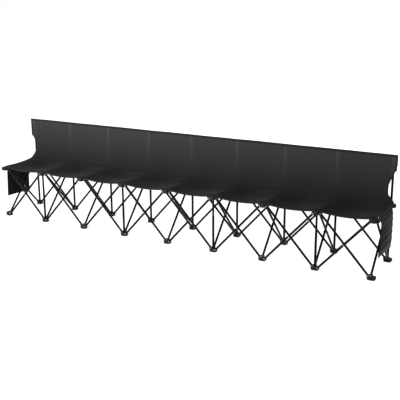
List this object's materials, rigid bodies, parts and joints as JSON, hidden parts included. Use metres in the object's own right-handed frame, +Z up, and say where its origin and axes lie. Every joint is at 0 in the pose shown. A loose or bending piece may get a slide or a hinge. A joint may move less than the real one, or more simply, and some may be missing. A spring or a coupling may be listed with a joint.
{
  "type": "folding team bench",
  "caption": "Folding bench in a row of cloth seats with a shared back, on a concertina frame of crossed tubes with moulded hubs and feet, and a cloth pocket at each end.",
  "frame": {"origin": "on the floor under the middle of the bench", "axes": "+X along the bench to the sitter's left, -Y to the front, +Z up"},
  "size_m": [3.6612, 0.486, 0.861],
  "materials": {
    "cloth": "woven polyester, black, matt",
    "bars": "black powder coat",
    "frame": "black moulded plastic hubs, with powder-coated tubes"
  },
  "bodies": {
    "base_0": {"base_0": "frame"},
    "head_0": {"head_0": "frame"},
    "depth_back_0": {"depth_bar_back_0": "bars"},
    "depth_front_0": {"depth_bar_front_0": "bars"},
    "base_1": {"base_1": "frame"},
    "head_1": {"head_1": "frame"},
    "depth_back_1": {"depth_bar_back_1": "bars"},
    "depth_front_1": {"depth_bar_front_1": "bars"},
    "base_2": {"base_2": "frame"},
    "head_2": {"head_2": "frame"},
    "depth_back_2": {"depth_bar_back_2": "bars"},
    "depth_front_2": {"depth_bar_front_2": "bars"},
    "base_3": {"base_3": "frame"},
    "head_3": {"head_3": "frame"},
    "depth_back_3": {"depth_bar_back_3": "bars"},
    "depth_front_3": {"depth_bar_front_3": "bars"},
    "base_4": {"base_4": "frame", "back_cover": "cloth"},
    "head_4": {"head_4": "frame", "seat_cover": "cloth"},
    "depth_back_4": {"depth_bar_back_4": "bars"},
    "depth_front_4": {"depth_bar_front_4": "bars"},
    "base_5": {"base_5": "frame"},
    "head_5": {"head_5": "frame"},
    "depth_back_5": {"depth_bar_back_5": "bars"},
    "depth_front_5": {"depth_bar_front_5": "bars"},
    "base_6": {"base_6": "frame"},
    "head_6": {"head_6": "frame"},
    "depth_back_6": {"depth_bar_back_6": "bars"},
    "depth_front_6": {"depth_bar_front_6": "bars"},
    "base_7": {"base_7": "frame"},
    "head_7": {"head_7": "frame"},
    "depth_back_7": {"depth_bar_back_7": "bars"},
    "depth_front_7": {"depth_bar_front_7": "bars"},
    "base_8": {"base_8": "frame"},
    "head_8": {"head_8": "frame"},
    "depth_back_8": {"depth_bar_back_8": "bars"},
    "depth_front_8": {"depth_bar_front_8": "bars"},
    "rising_0": {"row_bars_rising_0": "bars"},
    "falling_0": {"row_bars_falling_0": "bars"},
    "rising_1": {"row_bars_rising_1": "bars"},
    "falling_1": {"row_bars_falling_1": "bars"},
    "rising_2": {"row_bars_rising_2": "bars"},
    "falling_2": {"row_bars_falling_2": "bars"},
    "rising_3": {"row_bars_rising_3": "bars"},
    "falling_3": {"row_bars_falling_3": "bars"},
    "rising_4": {"row_bars_rising_4": "bars"},
    "falling_4": {"row_bars_falling_4": "bars"},
    "rising_5": {"row_bars_rising_5": "bars"},
    "falling_5": {"row_bars_falling_5": "bars"},
    "rising_6": {"row_bars_rising_6": "bars"},
    "falling_6": {"row_bars_falling_6": "bars"},
    "rising_7": {"row_bars_rising_7": "bars"},
    "falling_7": {"row_bars_falling_7": "bars"}
  },
  "joints": [
    {"name": "fold", "type": "hinge", "parent": "base_4", "child": "rising_4", "pos_m": [0.025, -0.21865, 0.022], "axis": [0, -1, 0], "range_deg": [0, 39.37], "deforming": ["seat_cover", "back_cover"]},
    {"name": "falling_4_centre", "type": "hinge", "parent": "rising_4", "child": "falling_4", "pos_m": [0.22, -0.21865, 0.236], "axis": [0, 1, 0], "range_deg": [0, 78.74]},
    {"name": "base_5_foot", "type": "hinge", "parent": "falling_4", "child": "base_5", "pos_m": [0.415, -0.21865, 0.022], "axis": [0, -1, 0], "range_deg": [0, 39.37]},
    {"name": "head_5_top", "type": "hinge", "parent": "rising_4", "child": "head_5", "pos_m": [0.415, -0.21865, 0.45], "axis": [0, 1, 0], "range_deg": [0, 39.37]},
    {"name": "rising_5_foot", "type": "hinge", "parent": "base_5", "child": "rising_5", "pos_m": [0.465, -0.21865, 0.022], "axis": [0, -1, 0], "range_deg": [0, 39.37]},
    {"name": "falling_5_centre", "type": "hinge", "parent": "rising_5", "child": "falling_5", "pos_m": [0.66, -0.21865, 0.236], "axis": [0, 1, 0], "range_deg": [0, 78.74]},
    {"name": "base_6_foot", "type": "hinge", "parent": "falling_5", "child": "base_6", "pos_m": [0.855, -0.21865, 0.022], "axis": [0, -1, 0], "range_deg": [0, 39.37]},
    {"name": "head_6_top", "type": "hinge", "parent": "rising_5", "child": "head_6", "pos_m": [0.855, -0.21865, 0.45], "axis": [0, 1, 0], "range_deg": [0, 39.37]},
    {"name": "rising_6_foot", "type": "hinge", "parent": "base_6", "child": "rising_6", "pos_m": [0.905, -0.21865, 0.022], "axis": [0, -1, 0], "range_deg": [0, 39.37]},
    {"name": "falling_6_centre", "type": "hinge", "parent": "rising_6", "child": "falling_6", "pos_m": [1.1, -0.21865, 0.236], "axis": [0, 1, 0], "range_deg": [0, 78.74]},
    {"name": "base_7_foot", "type": "hinge", "parent": "falling_6", "child": "base_7", "pos_m": [1.295, -0.21865, 0.022], "axis": [0, -1, 0], "range_deg": [0, 39.37]},
    {"name": "head_7_top", "type": "hinge", "parent": "rising_6", "child": "head_7", "pos_m": [1.295, -0.21865, 0.45], "axis": [0, 1, 0], "range_deg": [0, 39.37]},
    {"name": "rising_7_foot", "type": "hinge", "parent": "base_7", "child": "rising_7", "pos_m": [1.345, -0.21865, 0.022], "axis": [0, -1, 0], "range_deg": [0, 39.37]},
    {"name": "falling_7_centre", "type": "hinge", "parent": "rising_7", "child": "falling_7", "pos_m": [1.54, -0.21865, 0.236], "axis": [0, 1, 0], "range_deg": [0, 78.74]},
    {"name": "base_8_foot", "type": "hinge", "parent": "falling_7", "child": "base_8", "pos_m": [1.735, -0.21865, 0.022], "axis": [0, -1, 0], "range_deg": [0, 39.37]},
    {"name": "head_8_top", "type": "hinge", "parent": "rising_7", "child": "head_8", "pos_m": [1.735, -0.21865, 0.45], "axis": [0, 1, 0], "range_deg": [0, 39.37]},
    {"name": "head_4_top", "type": "hinge", "parent": "falling_4", "child": "head_4", "pos_m": [0.025, -0.21865, 0.45], "axis": [0, -1, 0], "range_deg": [0, 39.37]},
    {"name": "falling_3_foot", "type": "hinge", "parent": "base_4", "child": "falling_3", "pos_m": [-0.025, -0.21865, 0.022], "axis": [0, 1, 0], "range_deg": [0, 39.37]},
    {"name": "rising_3_centre", "type": "hinge", "parent": "falling_3", "child": "rising_3", "pos_m": [-0.22, -0.21865, 0.236], "axis": [0, -1, 0], "range_deg": [0, 78.74]},
    {"name": "base_3_foot", "type": "hinge", "parent": "rising_3", "child": "base_3", "pos_m": [-0.415, -0.21865, 0.022], "axis": [0, 1, 0], "range_deg": [0, 39.37]},
    {"name": "head_3_top", "type": "hinge", "parent": "falling_3", "child": "head_3", "pos_m": [-0.415, -0.21865, 0.45], "axis": [0, -1, 0], "range_deg": [0, 39.37]},
    {"name": "falling_2_foot", "type": "hinge", "parent": "base_3", "child": "falling_2", "pos_m": [-0.465, -0.21865, 0.022], "axis": [0, 1, 0], "range_deg": [0, 39.37]},
    {"name": "rising_2_centre", "type": "hinge", "parent": "falling_2", "child": "rising_2", "pos_m": [-0.66, -0.21865, 0.236], "axis": [0, -1, 0], "range_deg": [0, 78.74]},
    {"name": "base_2_foot", "type": "hinge", "parent": "rising_2", "child": "base_2", "pos_m": [-0.855, -0.21865, 0.022], "axis": [0, 1, 0], "range_deg": [0, 39.37]},
    {"name": "head_2_top", "type": "hinge", "parent": "falling_2", "child": "head_2", "pos_m": [-0.855, -0.21865, 0.45], "axis": [0, -1, 0], "range_deg": [0, 39.37]},
    {"name": "falling_1_foot", "type": "hinge", "parent": "base_2", "child": "falling_1", "pos_m": [-0.905, -0.21865, 0.022], "axis": [0, 1, 0], "range_deg": [0, 39.37]},
    {"name": "rising_1_centre", "type": "hinge", "parent": "falling_1", "child": "rising_1", "pos_m": [-1.1, -0.21865, 0.236], "axis": [0, -1, 0], "range_deg": [0, 78.74]},
    {"name": "base_1_foot", "type": "hinge", "parent": "rising_1", "child": "base_1", "pos_m": [-1.295, -0.21865, 0.022], "axis": [0, 1, 0], "range_deg": [0, 39.37]},
    {"name": "head_1_top", "type": "hinge", "parent": "falling_1", "child": "head_1", "pos_m": [-1.295, -0.21865, 0.45], "axis": [0, -1, 0], "range_deg": [0, 39.37]},
    {"name": "falling_0_foot", "type": "hinge", "parent": "base_1", "child": "falling_0", "pos_m": [-1.345, -0.21865, 0.022], "axis": [0, 1, 0], "range_deg": [0, 39.37]},
    {"name": "rising_0_centre", "type": "hinge", "parent": "falling_0", "child": "rising_0", "pos_m": [-1.54, -0.21865, 0.236], "axis": [0, -1, 0], "range_deg": [0, 78.74]},
    {"name": "base_0_foot", "type": "hinge", "parent": "rising_0", "child": "base_0", "pos_m": [-1.735, -0.21865, 0.022], "axis": [0, 1, 0], "range_deg": [0, 39.37]},
    {"name": "head_0_top", "type": "hinge", "parent": "falling_0", "child": "head_0", "pos_m": [-1.735, -0.21865, 0.45], "axis": [0, -1, 0], "range_deg": [0, 39.37]},
    {"name": "back_0_foot", "type": "hinge", "parent": "base_0", "child": "depth_back_0", "pos_m": [-1.76, -0.19365, 0.022], "axis": [1, 0, 0], "range_deg": [0, 39.37]},
    {"name": "front_0_centre", "type": "hinge", "parent": "depth_back_0", "child": "depth_front_0", "pos_m": [-1.76, 0.00135, 0.236], "axis": [-1, 0, 0], "range_deg": [0, 78.74]},
    {"name": "back_1_foot", "type": "hinge", "parent": "base_1", "child": "depth_back_1", "pos_m": [-1.32, -0.19365, 0.022], "axis": [1, 0, 0], "range_deg": [0, 39.37]},
    {"name": "front_1_centre", "type": "hinge", "parent": "depth_back_1", "child": "depth_front_1", "pos_m": [-1.32, 0.00135, 0.236], "axis": [-1, 0, 0], "range_deg": [0, 78.74]},
    {"name": "back_2_foot", "type": "hinge", "parent": "base_2", "child": "depth_back_2", "pos_m": [-0.88, -0.19365, 0.022], "axis": [1, 0, 0], "range_deg": [0, 39.37]},
    {"name": "front_2_centre", "type": "hinge", "parent": "depth_back_2", "child": "depth_front_2", "pos_m": [-0.88, 0.00135, 0.236], "axis": [-1, 0, 0], "range_deg": [0, 78.74]},
    {"name": "back_3_foot", "type": "hinge", "parent": "base_3", "child": "depth_back_3", "pos_m": [-0.44, -0.19365, 0.022], "axis": [1, 0, 0], "range_deg": [0, 39.37]},
    {"name": "front_3_centre", "type": "hinge", "parent": "depth_back_3", "child": "depth_front_3", "pos_m": [-0.44, 0.00135, 0.236], "axis": [-1, 0, 0], "range_deg": [0, 78.74]},
    {"name": "back_4_foot", "type": "hinge", "parent": "base_4", "child": "depth_back_4", "pos_m": [0, -0.19365, 0.022], "axis": [1, 0, 0], "range_deg": [0, 39.37]},
    {"name": "front_4_centre", "type": "hinge", "parent": "depth_back_4", "child": "depth_front_4", "pos_m": [0, 0.00135, 0.236], "axis": [-1, 0, 0], "range_deg": [0, 78.74]},
    {"name": "back_5_foot", "type": "hinge", "parent": "base_5", "child": "depth_back_5", "pos_m": [0.44, -0.19365, 0.022], "axis": [1, 0, 0], "range_deg": [0, 39.37]},
    {"name": "front_5_centre", "type": "hinge", "parent": "depth_back_5", "child": "depth_front_5", "pos_m": [0.44, 0.00135, 0.236], "axis": [-1, 0, 0], "range_deg": [0, 78.74]},
    {"name": "back_6_foot", "type": "hinge", "parent": "base_6", "child": "depth_back_6", "pos_m": [0.88, -0.19365, 0.022], "axis": [1, 0, 0], "range_deg": [0, 39.37]},
    {"name": "front_6_centre", "type": "hinge", "parent": "depth_back_6", "child": "depth_front_6", "pos_m": [0.88, 0.00135, 0.236], "axis": [-1, 0, 0], "range_deg": [0, 78.74]},
    {"name": "back_7_foot", "type": "hinge", "parent": "base_7", "child": "depth_back_7", "pos_m": [1.32, -0.19365, 0.022], "axis": [1, 0, 0], "range_deg": [0, 39.37]},
    {"name": "front_7_centre", "type": "hinge", "parent": "depth_back_7", "child": "depth_front_7", "pos_m": [1.32, 0.00135, 0.236], "axis": [-1, 0, 0], "range_deg": [0, 78.74]},
    {"name": "back_8_foot", "type": "hinge", "parent": "base_8", "child": "depth_back_8", "pos_m": [1.76, -0.19365, 0.022], "axis": [1, 0, 0], "range_deg": [0, 39.37]},
    {"name": "front_8_centre", "type": "hinge", "parent": "depth_back_8", "child": "depth_front_8", "pos_m": [1.76, 0.00135, 0.236], "axis": [-1, 0, 0], "range_deg": [0, 78.74]}
  ],
  "couplings": [
    {"joint": "falling_4_centre", "follows": "fold", "ratio": 2},
    {"joint": "base_5_foot", "follows": "fold", "ratio": 1},
    {"joint": "head_5_top", "follows": "fold", "ratio": 1},
    {"joint": "rising_5_foot", "follows": "fold", "ratio": 1},
    {"joint": "falling_5_centre", "follows": "fold", "ratio": 2},
    {"joint": "base_6_foot", "follows": "fold", "ratio": 1},
    {"joint": "head_6_top", "follows": "fold", "ratio": 1},
    {"joint": "rising_6_foot", "follows": "fold", "ratio": 1},
    {"joint": "falling_6_centre", "follows": "fold", "ratio": 2},
    {"joint": "base_7_foot", "follows": "fold", "ratio": 1},
    {"joint": "head_7_top", "follows": "fold", "ratio": 1},
    {"joint": "rising_7_foot", "follows": "fold", "ratio": 1},
    {"joint": "falling_7_centre", "follows": "fold", "ratio": 2},
    {"joint": "base_8_foot", "follows": "fold", "ratio": 1},
    {"joint": "head_8_top", "follows": "fold", "ratio": 1},
    {"joint": "head_4_top", "follows": "fold", "ratio": 1},
    {"joint": "falling_3_foot", "follows": "fold", "ratio": 1},
    {"joint": "rising_3_centre", "follows": "fold", "ratio": 2},
    {"joint": "base_3_foot", "follows": "fold", "ratio": 1},
    {"joint": "head_3_top", "follows": "fold", "ratio": 1},
    {"joint": "falling_2_foot", "follows": "fold", "ratio": 1},
    {"joint": "rising_2_centre", "follows": "fold", "ratio": 2},
    {"joint": "base_2_foot", "follows": "fold", "ratio": 1},
    {"joint": "head_2_top", "follows": "fold", "ratio": 1},
    {"joint": "falling_1_foot", "follows": "fold", "ratio": 1},
    {"joint": "rising_1_centre", "follows": "fold", "ratio": 2},
    {"joint": "base_1_foot", "follows": "fold", "ratio": 1},
    {"joint": "head_1_top", "follows": "fold", "ratio": 1},
    {"joint": "falling_0_foot", "follows": "fold", "ratio": 1},
    {"joint": "rising_0_centre", "follows": "fold", "ratio": 2},
    {"joint": "base_0_foot", "follows": "fold", "ratio": 1},
    {"joint": "head_0_top", "follows": "fold", "ratio": 1},
    {"joint": "back_0_foot", "follows": "fold", "ratio": 1},
    {"joint": "front_0_centre", "follows": "fold", "ratio": 2},
    {"joint": "back_1_foot", "follows": "fold", "ratio": 1},
    {"joint": "front_1_centre", "follows": "fold", "ratio": 2},
    {"joint": "back_2_foot", "follows": "fold", "ratio": 1},
    {"joint": "front_2_centre", "follows": "fold", "ratio": 2},
    {"joint": "back_3_foot", "follows": "fold", "ratio": 1},
    {"joint": "front_3_centre", "follows": "fold", "ratio": 2},
    {"joint": "back_4_foot", "follows": "fold", "ratio": 1},
    {"joint": "front_4_centre", "follows": "fold", "ratio": 2},
    {"joint": "back_5_foot", "follows": "fold", "ratio": 1},
    {"joint": "front_5_centre", "follows": "fold", "ratio": 2},
    {"joint": "back_6_foot", "follows": "fold", "ratio": 1},
    {"joint": "front_6_centre", "follows": "fold", "ratio": 2},
    {"joint": "back_7_foot", "follows": "fold", "ratio": 1},
    {"joint": "front_7_centre", "follows": "fold", "ratio": 2},
    {"joint": "back_8_foot", "follows": "fold", "ratio": 1},
    {"joint": "front_8_centre", "follows": "fold", "ratio": 2}
  ]
}
